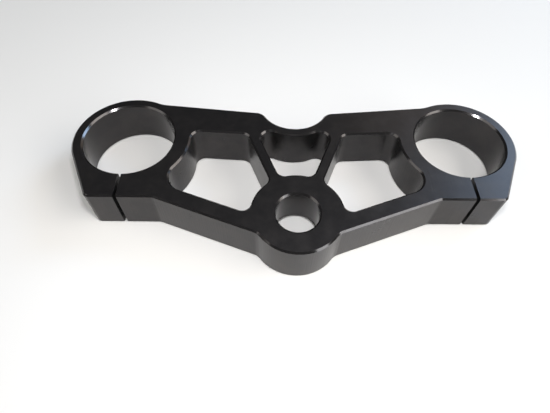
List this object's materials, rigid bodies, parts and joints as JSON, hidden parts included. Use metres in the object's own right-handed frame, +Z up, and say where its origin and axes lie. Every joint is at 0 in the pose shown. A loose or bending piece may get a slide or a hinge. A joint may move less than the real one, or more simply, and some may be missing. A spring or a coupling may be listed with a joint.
{
  "type": "motorcycle triple clamp",
  "caption": "Upper triple clamp of a motorcycle fork: a black anodised aluminium plate with split fork clamps, a stem bore and lightening pockets.",
  "frame": {"origin": "on the steering stem axis at mid thickness of the plate", "axes": "+X to the right fork leg, +Y from the stem to the line of the fork legs, +Z up along the stem"},
  "size_m": [0.267, 0.111, 0.0264],
  "materials": {
    "black_anodised_aluminium": "satin"
  },
  "bodies": {
    "root": {"triple_clamp": "black_anodised_aluminium"}
  },
  "joints": []
}
